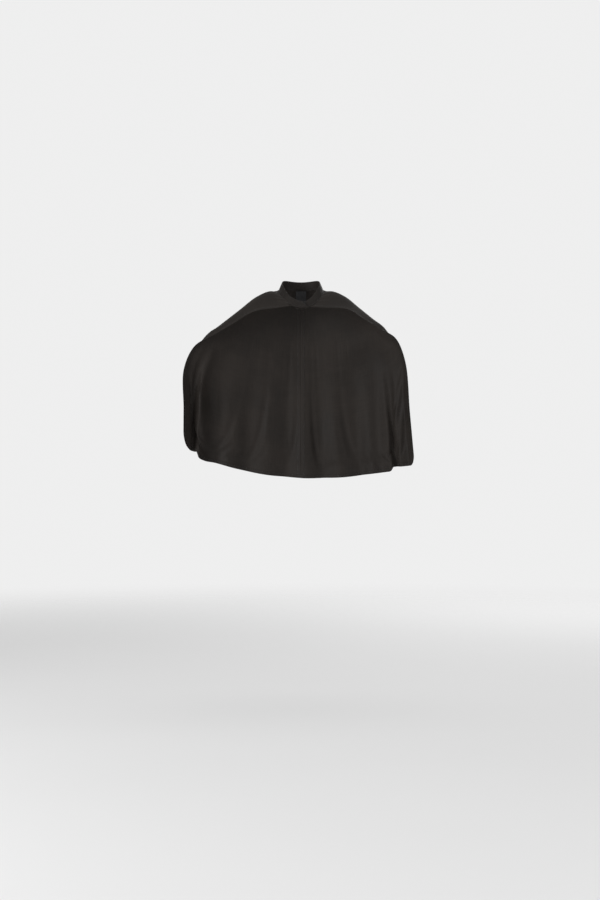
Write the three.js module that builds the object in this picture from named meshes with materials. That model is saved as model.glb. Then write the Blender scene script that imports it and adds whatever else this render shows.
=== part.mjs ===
// A child's superhero cape in its worn shape: two cloth panels joined at the centre back, a stand collar of folded
// band over interfacing, narrow turned hems, and a hook-and-loop closure whose tab laps over the other collar end.
// Millimetres, +Z up, the wearer faces -Y and the wearer's right is -X. The origin is the centre of the neck opening.
import * as THREE from "three";

// ---- driving sizes ----
const clothThickness = 1.2;
const clearance = 0.4; // between two pieces that lie on each other
const edgeAngle = 17; // how far round the neck from the centre front a panel's front edge starts, in degrees

const neck = { halfWidth: 60, front: 62, back: 58, frontZ: -33, sideZ: 18, backZ: 26 };
const collar = { height: 24, leaf: 0.9, interfacing: 0.8, play: 0.55, leanFront: 38, leanBack: 12 };
const shoulder = { frontReach: 126, frontDepth: 46, crestReach: 120, crestDrop: -5 };
const back = { depth: 118, hem: 486 };
const sides = {
  right: {
    sign: -1, frontDrop: 39, armReach: 289, armDrop: 127, elbowOut: 30, hemReach: 320, hemFront: 403, hemSide: 436,
    hemBlade: 470,
  },
  left: {
    sign: 1, frontDrop: 33, armReach: 257, armDrop: 106, elbowOut: 27, hemReach: 309, hemFront: 447, hemSide: 464,
    hemBlade: 482,
  },
};
const hem = { width: 10, thickness: 0.8, stitchInset: 8 };
const thread = { radius: 0.4, sides: 6 };
const patch = { length: 26, width: 16, thickness: 1.1 }; // hook and loop alike
const tab = { past: 15, split: 20, tipDrop: 3 }; // degrees round the neck past the centre front, and where it starts
const underlap = { past: 15 }; // how far the left collar end runs past the centre front, in degrees
const label = { width: 28, height: 36, thickness: 0.5, inset: 4.5 };

// The front of each side turns with its half of the collar, so its cloth and band are cut from the rest here.
const turning = { bandAngle: 74, bandGap: 3, columns: 2, rows: 3, gapColumns: 1, gapRows: 1 };
const cornerCut = 0.45; // how far the bottom corners are rounded in, as a share of the hem's width
const grid = { columns: 32, rows: 24 }; // cells across the whole cape, and from neckline to hem
const middle = grid.columns / 2; // the column line down the centre back

// ---- neckline and collar ----
const rad = THREE.MathUtils.degToRad;
const bandThickness = 2 * (collar.leaf + collar.play) + collar.interfacing;
const lapStep = bandThickness + 2 * patch.thickness + 3 * clearance; // from the inner band to the band lapped over it

// The seam line round the neck. The angle is 0 at the centre front and 180 at the centre back, negative past the front.
function neckline(sign, degrees) {
  const angle = rad(degrees);
  const cos = Math.cos(angle);
  const even = (neck.frontZ + neck.backZ) / 2;
  const twist = (even - neck.sideZ) / 2;
  const z = (even + neck.sideZ) / 2 + ((neck.frontZ - neck.backZ) / 2) * cos + twist * Math.cos(2 * angle);
  return new THREE.Vector3(sign * neck.halfWidth * Math.sin(angle), -(cos > 0 ? neck.front : neck.back) * cos, z);
}

// The band's own directions at an angle: out of its outer face, and up its height.
function bandFrame(sign, degrees) {
  const angle = rad(degrees);
  const depth = Math.cos(angle) > 0 ? neck.front : neck.back;
  const out = new THREE.Vector3((sign * Math.sin(angle)) / neck.halfWidth, -Math.cos(angle) / depth, 0).normalize();
  const share = (1 + Math.cos(angle)) / 2;
  const lean = rad(collar.leanFront * share + collar.leanBack * (1 - share));
  const up = new THREE.Vector3(0, 0, Math.cos(lean)).addScaledVector(out, -Math.sin(lean));
  const face = new THREE.Vector3(0, 0, Math.sin(lean)).addScaledVector(out, Math.cos(lean));
  return { base: neckline(sign, degrees), face, up };
}

// How far the right band stands out at an angle, so that its end can lap over the left one, and how far it dips.
function lap(degrees) {
  const share = THREE.MathUtils.smoothstep(-degrees, -(tab.split + 28), -(tab.split + 2));
  const dip = tab.tipDrop * Math.max(0, (tab.split - degrees) / (tab.split + tab.past));
  return { out: lapStep * share, dip };
}

// A point on a collar half: across is measured out of the band's middle, and up from the seam line.
function bandPoint(side, degrees, across, up, lapped) {
  const frame = bandFrame(side.sign, degrees);
  const step = lapped ? lap(degrees) : { out: 0, dip: 0 };
  return frame.base
    .addScaledVector(frame.face, across + step.out)
    .addScaledVector(frame.up, up - step.dip);
}

// Where the cloth's top edge lies, just outside the foot of the band. The right side's follows its lapped end.
function neckEdge(side, degrees) {
  const out = bandThickness / 2 + 3 * clearance + clothThickness;
  return bandPoint(side, degrees, out, -clothThickness, side.sign < 0);
}

// ---- the drape ----
const lineAngles = [edgeAngle, 72, 108, 145, 180]; // round the neck, where each side's lines of the drape begin

// One line of cloth from the neckline to the hem, as nine points: neck, two over the shoulder, four down to the
// elbow's height and three hanging.
function drapeLine(side, degrees, near, over, elbow, below, end) {
  const start = neckEdge(side, degrees);
  const place = ([x, y, z]) => new THREE.Vector3(side.sign * x, y, z);
  const [a, b, e, f, h] = [near, over, elbow, below, end].map(place);
  const points = [start, a, b, b.clone().lerp(e, 0.34), b.clone().lerp(e, 0.68), e, f, f.clone().lerp(h, 0.5), h];
  return new THREE.CatmullRomCurve3(points, false, "centripetal");
}

function drapeLines(side) {
  const { armReach: reach, armDrop: drop, elbowOut: out, hemReach: flare } = side;
  const s = shoulder;
  const deep = back.depth;
  return [
    drapeLine(
      side, lineAngles[0],
      [neck.halfWidth + 2, -neck.front + 1, neck.frontZ + 3],
      [s.frontReach, -s.frontDepth, -side.frontDrop],
      [reach, 0.16 * deep, -drop],
      [reach + out, 0.28 * deep, -(drop + 62)],
      [flare, 0.26 * deep, -side.hemFront],
    ),
    drapeLine(
      side, lineAngles[1],
      [neck.halfWidth + 22, -4, neck.sideZ + 1],
      [s.crestReach, 2, -s.crestDrop],
      [reach - 28, 0.19 * deep, -(drop - 25)],
      [reach + 0.45 * out, 0.42 * deep, -(drop + 60)],
      [flare - 13, 0.5 * deep, -(side.hemFront + 8)],
    ),
    drapeLine(
      side, lineAngles[2],
      [neck.halfWidth + 18, 34, neck.sideZ - 3],
      [s.crestReach - 4, 50, s.crestDrop - 15],
      [0.55 * reach + 60, 0.7 * deep, -(drop + 34)],
      [0.55 * reach + 82, 0.76 * deep, -(drop + 116)],
      [0.6 * flare + 64, 0.77 * deep, -side.hemSide],
    ),
    drapeLine(
      side, lineAngles[3],
      [0.75 * neck.halfWidth, neck.back + 4, neck.backZ - 12],
      [s.crestReach / 2 + 4, 0.7 * deep, s.crestDrop - 25],
      [s.crestReach - 6, 0.92 * deep, -0.42 * back.hem],
      [s.crestReach + 6, 0.95 * deep, -0.59 * back.hem],
      [s.crestReach + 18, 0.97 * deep, -side.hemBlade],
    ),
  ];
}

function spineLine() {
  const deep = back.depth;
  return drapeLine(
    sides.left, lineAngles[4],
    [0, neck.back + 16, neck.backZ - 12],
    [0, 0.82 * deep, shoulder.crestDrop - 31],
    [0, deep, -0.45 * back.hem],
    [0, deep + 3, -0.62 * back.hem],
    [0, deep + 6, -back.hem],
  );
}

// The whole cape as one surface: across runs 0 to 1 from the right front edge to the left one, down 0 to 1 to the hem.
const allLines = [...drapeLines(sides.right), spineLine(), ...drapeLines(sides.left).reverse()];

function clothPoint(across, down) {
  const row = allLines.map((line) => line.getPoint(down));
  return new THREE.CatmullRomCurve3(row, false, "centripetal").getPoint(across);
}

const NUDGE = 1e-3;

// The cloth is drawn on a grid of cells for each side. Column 0 is the front edge and column 1 is a hem's width in; the
// last column is the centre back. Row 0 is the neckline, and the last row is a hem's width high.
function cellPlace(side, i, j) {
  const [edge, inward] = side.sign < 0 ? [0, 1] : [1, -1];
  let down = j / (grid.rows - 1);
  if (j >= grid.rows - 1) {
    const guess = edge + (inward * i) / grid.columns;
    const inset = (hem.width * NUDGE) / clothPoint(guess, 1).distanceTo(clothPoint(guess, 1 - NUDGE));
    down = j === grid.rows ? 1 : 1 - inset;
  } else {
    down *= 0.975;
  }
  const width = clothPoint(edge, down).distanceTo(clothPoint(edge + inward * NUDGE, down)) / NUDGE;
  const first = hem.width / width;
  const share = i === 0 ? 0 : first + ((0.5 - first) * (i - 1)) / (middle - 1);
  return [edge + inward * share, down];
}

// The neckline angle at a share of the way across, in step with the lines of the drape.
function neckAngle(side, across) {
  const place = 8 * (side.sign < 0 ? across : 1 - across);
  const k = Math.min(Math.floor(place), 3);
  return THREE.MathUtils.lerp(lineAngles[k], lineAngles[k + 1], place - k);
}

const cells = new Map();

function cellPoint(side, i, j) {
  const key = `${side.sign},${i},${j}`;
  if (!cells.has(key)) {
    const place = cellPlace(side, i, j);
    const point = j === 0 ? neckEdge(side, neckAngle(side, place[0])) : clothPoint(...place);
    cells.set(key, i === 0 && j === grid.rows ? point.lerp(cellPoint(side, 1, j - 1), cornerCut) : point);
  }
  return cells.get(key);
}

function cellCorner(side, i, j, offset) {
  const at = (k, m) => cellPoint(side, THREE.MathUtils.clamp(k, 0, middle), THREE.MathUtils.clamp(m, 0, grid.rows));
  const tangent = at(i + 1, j).clone().sub(at(i - 1, j));
  const fall = at(i, j + 1).clone().sub(at(i, j - 1));
  const normal = fall.cross(tangent).multiplyScalar(-side.sign).normalize(); // away from the wearer
  return at(i, j).clone().addScaledVector(normal, offset);
}

// A place between the grid's corners, offset out of the cloth, so that whatever is sewn on follows the flat cells.
function clothAt(side, i, j, offset) {
  const [i0, j0] = [Math.min(Math.floor(i), middle - 1), Math.min(Math.floor(j), grid.rows - 1)];
  const row = (k) => cellCorner(side, i0, k, offset).lerp(cellCorner(side, i0 + 1, k, offset), i - i0);
  return row(j0).lerp(row(j0 + 1), j - j0);
}

// ---- solids ----
function solid(name, color, roughness, positions, triangles) {
  let volume = 0;
  for (const [a, b, c] of triangles) volume += positions[a].dot(positions[b].clone().cross(positions[c]));
  const facing = volume < 0 ? triangles.map(([a, b, c]) => [a, c, b]) : triangles;
  const geometry = new THREE.BufferGeometry();
  geometry.setAttribute("position", new THREE.Float32BufferAttribute(positions.flatMap((p) => p.toArray()), 3));
  geometry.setIndex(facing.flat());
  geometry.computeVertexNormals();
  const mesh = new THREE.Mesh(geometry, new THREE.MeshStandardMaterial({ color, roughness, metalness: 0 }));
  mesh.name = name;
  return mesh;
}

// A closed sheet over the cells of a grid for which keep is true. point(i, j, face) gives the two faces' corners.
function sheet(name, color, columns, rows, keep, point) {
  const positions = [];
  const triangles = [];
  const found = new Map();
  const corner = (i, j, face) => {
    const key = `${i},${j},${face}`;
    if (!found.has(key)) {
      found.set(key, positions.length);
      positions.push(point(i, j, face));
    }
    return found.get(key);
  };
  const kept = (i, j) => i >= 0 && j >= 0 && i < columns && j < rows && keep(i, j);
  const quad = (a, b, c, d) => triangles.push([a, b, c], [a, c, d]);
  for (let i = 0; i < columns; i++) {
    for (let j = 0; j < rows; j++) {
      if (!kept(i, j)) continue;
      const ring = [[i, j], [i + 1, j], [i + 1, j + 1], [i, j + 1]];
      const [a, b, c, d] = ring.map(([x, y]) => corner(x, y, 1));
      const [e, f, g, h] = ring.map(([x, y]) => corner(x, y, 0));
      quad(a, b, c, d);
      quad(h, g, f, e);
      if (!kept(i, j - 1)) quad(a, e, f, b);
      if (!kept(i + 1, j)) quad(b, f, g, c);
      if (!kept(i, j + 1)) quad(c, g, h, d);
      if (!kept(i - 1, j)) quad(d, h, e, a);
    }
  }
  return solid(name, color, 0.8, positions, triangles);
}

// A closed profile of [across, up] points carried round the neck between two angles. What lies inside a band takes the
// band's own angles and stops short of its ends by trim degrees, so its faces stay parallel to the band's.
function bandSolid(name, color, side, profile, from, to, steps, lapped = false, trim = 0) {
  const positions = [];
  const triangles = [];
  const count = profile.length;
  for (let k = 0; k <= steps; k++) {
    const even = from + ((to - from) * k) / steps;
    const degrees = Math.min(Math.max(even, from + trim), to - trim);
    for (const [across, up] of profile) positions.push(bandPoint(side, degrees, across, up, lapped));
  }
  for (let k = 0; k < steps; k++) {
    for (let i = 0; i < count; i++) {
      const next = (i + 1) % count;
      const [a, b] = [k * count + i, k * count + next];
      // each face is split from its low corner to the high one ahead, so a wall and what lies along it stay parallel
      const rising = profile[next][1] >= profile[i][1];
      if (rising) triangles.push([a, b, b + count], [a, b + count, a + count]);
      else triangles.push([a, b, a + count], [b, b + count, a + count]);
    }
  }
  const caps = THREE.ShapeUtils.triangulateShape(profile.map(([x, y]) => new THREE.Vector2(x, y)), []);
  for (const [a, b, c] of caps) {
    triangles.push([a, c, b]);
    triangles.push([a, b, c].map((v) => v + steps * count));
  }
  return solid(name, color, 0.85, positions, triangles);
}

// A sewing thread as a plain round tube through points.
function threadSolid(name, points, steps) {
  const shape = new THREE.Shape();
  for (let k = 0; k < thread.sides; k++) {
    const angle = (k / thread.sides) * 2 * Math.PI;
    const [x, y] = [thread.radius * Math.cos(angle), thread.radius * Math.sin(angle)];
    if (k === 0) shape.moveTo(x, y);
    else shape.lineTo(x, y);
  }
  shape.closePath();
  const path = new THREE.CatmullRomCurve3(points, false, "centripetal");
  const geometry = new THREE.ExtrudeGeometry(shape, { steps, extrudePath: path, curveSegments: 1, bevelEnabled: false });
  const mesh = new THREE.Mesh(geometry, new THREE.MeshStandardMaterial({ color: 0x1c1b1a, roughness: 0.6 }));
  mesh.name = name;
  return mesh;
}

// ---- profiles, as [across, up] outlines on the band's own axes ----
const half = bandThickness / 2;
const pocket = half - collar.leaf; // half the room between the two leaves
const bandProfile = [
  [-half, 0], [-pocket, 0], [-pocket, collar.height - collar.leaf], [pocket, collar.height - collar.leaf],
  [pocket, 0], [half, 0], [half, collar.height - 0.6 * collar.leaf], [half - 0.6 * collar.leaf, collar.height],
  [0.6 * collar.leaf - half, collar.height], [-half, collar.height - 0.6 * collar.leaf],
];
const box = (x0, x1, y0, y1) => [[x0, y0], [x1, y0], [x1, y1], [x0, y1]];
const interfacingProfile = box(
  -collar.interfacing / 2, collar.interfacing / 2, 1, collar.height - collar.leaf - clearance,
);
const patchFoot = (collar.height - patch.width) / 2;
const loopProfile = box(
  half + clearance, half + clearance + patch.thickness, patchFoot, patchFoot + patch.width,
);
const hookProfile = box(
  -half - clearance - patch.thickness, -half - clearance, patchFoot, patchFoot + patch.width,
);

// ---- the pieces ----
const black = { cloth: 0x282523, lining: 0x211f1d, band: 0x232120, patch: 0x161616, label: 0x3a3a3c, stiff: 0x4c4c4c };
const group = new THREE.Group();

const inCorner = (i, j, extra) =>
  i < turning.columns + extra * turning.gapColumns && j < turning.rows + extra * turning.gapRows;

function panelPoint(side, i, j, face) {
  const point = clothAt(side, i, j, face ? clothThickness / 2 : -clothThickness / 2);
  if (i === middle) point.x = (side.sign * clearance) / 2; // the two panels meet at the centre back
  return point;
}

function addPanel(name, side) {
  const main = (i, j) => !inCorner(i, j, 1);
  const corner = (i, j) => inCorner(i, j, 0);
  const at = (i, j, face) => panelPoint(side, i, j, face);
  group.add(sheet(`${name}_panel`, black.cloth, middle, grid.rows, main, at));
  group.add(sheet(`${name}_front_corner`, black.cloth, turning.columns, turning.rows, corner, at));
}

// A turned hem: a second layer on the wearer's side of the cloth, along the front edge or the bottom.
const hemFace = (face) => -clothThickness / 2 - clearance - (face ? 0 : hem.thickness);
const hemGap = 0.03; // in cells, between a hem's end and whatever comes next

// Where a strip is cut into cells between two places: at both ends and at every grid line between them.
function stations(from, to) {
  const list = [from];
  for (let k = Math.floor(from) + 1; k < to; k++) list.push(k);
  return [...list, to];
}

function addHems(name, side) {
  const strip = (piece, places, at) =>
    group.add(sheet(`${name}_${piece}`, black.lining, 1, places.length - 1, () => true, (i, j, face) =>
      at(i, places[j], hemFace(face))));
  const down = (i, place, offset) => clothAt(side, i, place, offset);
  const along = (i, place, offset) => clothAt(side, place, grid.rows - i, offset);
  const start = turning.rows + turning.gapRows;
  strip("front_hem", stations(start + hemGap, grid.rows - 1 - hemGap), down);
  strip("corner_hem", stations(1, turning.rows - hemGap), down);
  strip("bottom_hem", stations(0, middle - hemGap), along);
  const lift = hemFace(0) - clearance - thread.radius;
  const inset = hem.stitchInset / hem.width;
  const points = [
    ...stations(start + 2 * hemGap, grid.rows - 1.5).map((place) => clothAt(side, inset, place, lift)),
    ...stations(1.4, middle - 2 * hemGap).map((place) => clothAt(side, place, grid.rows - inset, lift)),
  ];
  group.add(threadSolid(`${name}_hem_thread`, points, 2 * points.length));
}

function addBackSeam() {
  const lift = -clothThickness / 2 - clearance - thread.radius;
  const points = stations(0.6, grid.rows - 1.6).map((place) => clothAt(sides.left, middle, place, lift));
  group.add(threadSolid("back_seam_thread", points, 2 * points.length));
}

// A neck seam's thread runs round the foot of the band, on its outer leaf.
const seamUp = 2.6;
const seamOut = half + clearance + thread.radius;

function addNeckThread(name, side, from, to, steps, lapped) {
  const points = [];
  for (let k = 0; k <= steps; k++) {
    points.push(bandPoint(side, from + ((to - from) * k) / steps, seamOut, seamUp, lapped));
  }
  group.add(threadSolid(name, points, 2 * steps));
}

const backEnd = 180 - THREE.MathUtils.radToDeg(clearance / 2 / neck.halfWidth);
const backStart = turning.bandAngle + turning.bandGap / 2;
const frontStart = turning.bandAngle - turning.bandGap / 2;
const interfacingTrim = 0.5; // degrees

function addCollar(name, side, frontEnd, lapped) {
  const band = (piece, profile, from, to, trim) =>
    group.add(bandSolid(`${name}_${piece}`, black.band, side, profile, from, to, 16, lapped, trim));
  band("collar", bandProfile, backStart, backEnd, 0);
  band("collar_interfacing", interfacingProfile, backStart, backEnd, interfacingTrim);
  band("collar_front", bandProfile, frontEnd, frontStart, 0);
  band("front_interfacing", interfacingProfile, frontEnd, frontStart, interfacingTrim);
  addNeckThread(`${name}_neck_thread`, side, backStart, backEnd - 1, 9, lapped);
  addNeckThread(`${name}_front_thread`, side, edgeAngle + 6, frontStart, 6, lapped);
}

// A patch's own thread is sewn along its two long edges and closed into one loop at its ends.
function patchThread(name, side, across, half_, lapped) {
  const inset = 2;
  const [low, high] = [patchFoot + inset, patchFoot + patch.width - inset];
  const points = [];
  for (let k = 0; k <= 4; k++) points.push(bandPoint(side, -half_ + (half_ * k) / 2, across, low, lapped));
  for (let k = 4; k >= 0; k--) points.push(bandPoint(side, -half_ + (half_ * k) / 2, across, high, lapped));
  return threadSolid(name, points, 22);
}

const patchHalf = THREE.MathUtils.radToDeg(patch.length / 2 / neck.halfWidth);
const patchThreadHalf = patchHalf - THREE.MathUtils.radToDeg(2 / neck.halfWidth);

function addClosure() {
  const { right, left } = sides;
  const tabStart = tab.split - turning.bandGap / 2;
  const tabBand = (name, color, profile, trim) =>
    group.add(bandSolid(name, color, right, profile, -tab.past, tabStart, 6, true, trim));
  tabBand("closure_tab", black.band, bandProfile, 0);
  tabBand("tab_interfacing", black.stiff, interfacingProfile, interfacingTrim);
  group.add(bandSolid("hook_patch", black.patch, right, hookProfile, -patchHalf, patchHalf, 4, true));
  group.add(bandSolid("loop_patch", black.patch, left, loopProfile, -patchHalf, patchHalf, 4));
  const outerFace = half + clearance + thread.radius;
  group.add(patchThread("hook_patch_thread", right, outerFace, patchThreadHalf, true));
  group.add(patchThread("loop_patch_thread", left, -outerFace, patchThreadHalf, false));
}

// The care label hangs from the collar's inner seam at the centre back.
function addLabel() {
  const top = neck.backZ - 1;
  const y = neck.back - label.inset;
  const place = (i, j, face) =>
    new THREE.Vector3((i - 0.5) * label.width, y - face * label.thickness, top - (j / 2) * label.height);
  group.add(sheet("care_label", black.label, 1, 2, () => true, place));
  const z = top - 1.5;
  const behind = y + clearance + thread.radius;
  const reach = label.width / 2 - 2;
  group.add(threadSolid("label_thread", [new THREE.Vector3(-reach, behind, z), new THREE.Vector3(reach, behind, z)], 4));
}

for (const [name, side] of Object.entries(sides)) {
  addPanel(name, side);
  addHems(name, side);
}
addBackSeam();
addCollar("right", sides.right, tab.split + turning.bandGap / 2, true);
addCollar("left", sides.left, -underlap.past, false);
addClosure();
addLabel();

export default group;
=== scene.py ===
import math
import bpy
import numpy as np
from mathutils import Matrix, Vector


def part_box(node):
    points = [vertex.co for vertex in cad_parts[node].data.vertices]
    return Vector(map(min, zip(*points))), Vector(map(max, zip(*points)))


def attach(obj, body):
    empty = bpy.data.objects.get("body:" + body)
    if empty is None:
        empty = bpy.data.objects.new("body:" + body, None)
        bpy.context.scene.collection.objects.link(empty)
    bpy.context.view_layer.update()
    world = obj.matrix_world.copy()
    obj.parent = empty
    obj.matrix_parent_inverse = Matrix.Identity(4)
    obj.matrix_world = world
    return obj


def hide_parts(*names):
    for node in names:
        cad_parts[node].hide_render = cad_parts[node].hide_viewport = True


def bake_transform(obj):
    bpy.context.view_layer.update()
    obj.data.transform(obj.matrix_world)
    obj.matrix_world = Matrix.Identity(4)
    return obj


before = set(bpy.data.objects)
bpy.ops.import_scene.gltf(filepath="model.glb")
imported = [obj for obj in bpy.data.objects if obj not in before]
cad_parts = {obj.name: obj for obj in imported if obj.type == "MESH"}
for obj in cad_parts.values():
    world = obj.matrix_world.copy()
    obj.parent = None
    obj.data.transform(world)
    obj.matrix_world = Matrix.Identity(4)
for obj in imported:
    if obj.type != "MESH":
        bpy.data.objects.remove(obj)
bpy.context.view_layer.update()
scene = bpy.context.scene
scene.view_settings.view_transform = "Standard"
mm = 0.001
print("frame loaded")


def deselectAll():
    bpy.ops.object.select_all(action="DESELECT")


def pick(piece):
    deselectAll()
    piece.select_set(True)
    bpy.context.view_layer.objects.active = piece


def applyModifier(piece, kind, **settings):
    pick(piece)
    made = piece.modifiers.new(kind.title(), kind)
    for name, value in settings.items():
        setattr(made, name, value)
    bpy.ops.object.modifier_apply(modifier=made.name)


def smoothstep(low, high, value):
    share = np.clip((value - low) / (high - low), 0, 1)
    return share * share * (3 - 2 * share)


def unit(vectors):
    return vectors / np.maximum(np.linalg.norm(vectors, axis=-1, keepdims=True), 1e-12)


# A curve through control rows, the same centripetal kind as the frame's own lines. points is (n, ..., 3).
def curveThrough(points, shares):
    before, after = 2 * points[0] - points[1], 2 * points[-1] - points[-2]
    knots = np.concatenate([before[None], points, after[None]])
    place = np.clip(shares, 0, 1) * (len(points) - 1)
    k = np.minimum(np.floor(place).astype(int), len(points) - 2)
    w = (place - k).reshape((-1,) + (1,) * (points.ndim - 1))
    p0, p1, p2, p3 = knots[k], knots[k + 1], knots[k + 2], knots[k + 3]
    d0, d1, d2 = (np.maximum(np.sqrt(np.linalg.norm(b - a, axis=-1, keepdims=True)), 1e-6)
                  for a, b in ((p0, p1), (p1, p2), (p2, p3)))
    t1 = ((p1 - p0) / d0 - (p2 - p0) / (d0 + d1) + (p2 - p1) / d1) * d1
    t2 = ((p2 - p1) / d1 - (p3 - p1) / (d1 + d2) + (p3 - p2) / d2) * d1
    return (p1 + w * t1 + w**2 * (-3 * p1 + 3 * p2 - 2 * t1 - t2) + w**3 * (2 * p1 - 2 * p2 + t1 + t2))


# How far along a line of points each point lies.
def runAlong(line):
    return np.concatenate([[0], np.cumsum(np.linalg.norm(np.diff(line, axis=0), axis=1))])


# The shares at which a line of points has evenly spaced lengths.
def evenShares(line, count):
    lengths = runAlong(line)
    return np.interp(np.linspace(0, lengths[-1], count), lengths, np.linspace(0, 1, len(line)))


# A mesh piece from points in metres. spread is where each point lies on the cloth laid flat: it becomes the UV map.
def newPiece(name, points, faces, spread=None):
    mesh = bpy.data.meshes.new(name)
    mesh.from_pydata(np.asarray(points, float).reshape(-1, 3).tolist(), [], np.asarray(faces).tolist())
    if spread is not None:
        layer = mesh.uv_layers.new(name="spread")
        order = np.array([loop.vertex_index for loop in mesh.loops])
        layer.data.foreach_set("uv", np.asarray(spread).reshape(-1, 2)[order].astype(np.float32).ravel())
    piece = bpy.data.objects.new(name, mesh)
    scene.collection.objects.link(piece)
    return piece


def gridFaces(columns, rows):
    index = np.arange(columns * rows).reshape(columns, rows)
    return np.stack([index[:-1, :-1], index[1:, :-1], index[1:, 1:], index[:-1, 1:]], -1).reshape(-1, 4)


# neck and collar, in millimetres in the frame's axes
neck = dict(halfWidth=60, front=62, back=58, frontZ=-33, sideZ=18, backZ=26)
collar = dict(
    height=24, thickness=2.5, leanFront=38, leanBack=12,
    lapStep=7.1,  # how far the right end stands out over the left, with the hooks and loops between them
    lapStart=48, lapFull=22, tabRoot=20, tabPast=15, underPast=15, tipDrop=3, tipSlant=13,
    backAngle=180, seamRise=2.4, seamPitch=2.7, stiffeningFoot=1.2, stiffeningHead=2.2, stiffeningThickness=0.6,
)


def bandFrame(sign, degrees):
    angle = np.radians(degrees)
    sin, cos = np.sin(angle), np.cos(angle)
    depth = np.where(cos > 0, neck["front"], neck["back"])
    even = (neck["frontZ"] + neck["backZ"]) / 2
    z = ((even + neck["sideZ"]) / 2 + (neck["frontZ"] - neck["backZ"]) / 2 * cos
         + (even - neck["sideZ"]) / 2 * np.cos(2 * angle))
    base = np.stack([sign * neck["halfWidth"] * sin, -depth * cos, z], -1)
    out = unit(np.stack([sign * sin / neck["halfWidth"], -cos / depth, 0 * cos], -1))
    share = (1 + cos) / 2
    lean = np.radians(collar["leanFront"] * share + collar["leanBack"] * (1 - share))[..., None]
    upright = np.array([0.0, 0.0, 1.0])
    face = upright * np.sin(lean) + out * np.cos(lean)
    up = upright * np.cos(lean) - out * np.sin(lean)
    return base, face, up


# A point on a collar half: out from the band's middle, and up from the seam line. The right half laps over the
# left, and its tip drops a little.
def bandPoint(sign, degrees, out, up):
    degrees, out, up = np.broadcast_arrays(np.asarray(degrees, float), out, up)
    base, face, upward = bandFrame(sign, degrees)
    if sign < 0:
        out = out + collar["lapStep"] * smoothstep(-collar["lapStart"], -collar["lapFull"], -degrees)
        split = collar["tabRoot"]
        up = up - collar["tipDrop"] * np.maximum(0, (split - degrees) / (split + collar["tabPast"]))
    return base + face * out[..., None] + upward * up[..., None]


# The drape, in millimetres. Each line runs from the neck seam over the shoulder or arm and down to the hem.
drape = dict(
    lineAngles=(17, 72, 108, 145, 180), frontReach=126, frontDepth=46, crestReach=120, crestDrop=-5,
    depth=118, hem=486,
    underBand=2.5,  # the cloth runs up this far between the band's two leaves
)
sides = {
    "right": dict(sign=-1, frontDrop=39, armReach=289, armDrop=127, elbowOut=30, hemReach=320, hemFront=403,
                  hemSide=436, hemBlade=470),
    "left": dict(sign=1, frontDrop=33, armReach=257, armDrop=106, elbowOut=27, hemReach=309, hemFront=447,
                 hemSide=464, hemBlade=482),
}


def drapeLine(sign, degrees, near, over, elbow, below, end):
    side = np.array([sign, 1, 1])
    start = bandPoint(sign, degrees, 0.0, drape["underBand"])
    a, b, e, f, h = (np.array(p, float) * side for p in (near, over, elbow, below, end))
    return np.array([start, a, b, b + (e - b) * 0.34, b + (e - b) * 0.68, e, f, (f + h) / 2, h])


def drapeLines(side):
    sign, reach, drop, out, flare = (side[k] for k in ("sign", "armReach", "armDrop", "elbowOut", "hemReach"))
    d, deep, wide = drape, drape["depth"], neck["halfWidth"]
    angles, crest, crestZ = d["lineAngles"], d["crestReach"], d["crestDrop"]
    return [
        drapeLine(sign, angles[0], (wide + 2, -neck["front"] + 1, neck["frontZ"] + 3),
                  (d["frontReach"], -d["frontDepth"], -side["frontDrop"]), (reach, 0.16 * deep, -drop),
                  (reach + out, 0.28 * deep, -(drop + 62)), (flare, 0.26 * deep, -side["hemFront"])),
        drapeLine(sign, angles[1], (wide + 22, -4, neck["sideZ"] + 1), (crest, 2, -crestZ),
                  (reach - 28, 0.19 * deep, -(drop - 25)), (reach + 0.45 * out, 0.42 * deep, -(drop + 60)),
                  (flare - 13, 0.5 * deep, -(side["hemFront"] + 8))),
        drapeLine(sign, angles[2], (wide + 18, 34, neck["sideZ"] - 3), (crest - 4, 50, crestZ - 15),
                  (0.55 * reach + 60, 0.7 * deep, -(drop + 34)),
                  (0.55 * reach + 82, 0.76 * deep, -(drop + 116)),
                  (0.6 * flare + 64, 0.77 * deep, -side["hemSide"])),
        drapeLine(sign, angles[3], (0.75 * wide, neck["back"] + 4, neck["backZ"] - 12),
                  (crest / 2 + 4, 0.7 * deep, crestZ - 25), (crest - 6, 0.92 * deep, -0.42 * d["hem"]),
                  (crest + 6, 0.95 * deep, -0.59 * d["hem"]), (crest + 18, 0.97 * deep, -side["hemBlade"])),
    ]


def spineLine():
    deep, hem = drape["depth"], drape["hem"]
    return drapeLine(1, 180, (0, neck["back"] + 16, neck["backZ"] - 12),
                     (0, 0.82 * deep, drape["crestDrop"] - 31),
                     (0, deep, -0.45 * hem), (0, deep + 3, -0.62 * hem), (0, deep + 6, -hem))


grid = dict(across=160, down=84)  # cells of the whole cape, across both halves and from the neck to the hem


def layOut():
    lines = [*drapeLines(sides["right"]), spineLine(), *drapeLines(sides["left"])[::-1]]
    dense = [curveThrough(line, np.linspace(0, 1, 300)) for line in lines]
    rows = np.array([curveThrough(line, evenShares(fine, grid["down"] + 1))
                     for line, fine in zip(lines, dense)])
    laid = np.zeros((grid["across"] + 1, grid["down"] + 1, 3))
    half = grid["across"] // 2
    for j in range(grid["down"] + 1):
        for first, at in ((0, slice(0, half + 1)), (0.5, slice(half, grid["across"] + 1))):
            fine = curveThrough(rows[:, j], np.linspace(first, first + 0.5, 260))
            laid[at, j] = curveThrough(rows[:, j], first + 0.5 * evenShares(fine, half + 1))
    return laid


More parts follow.
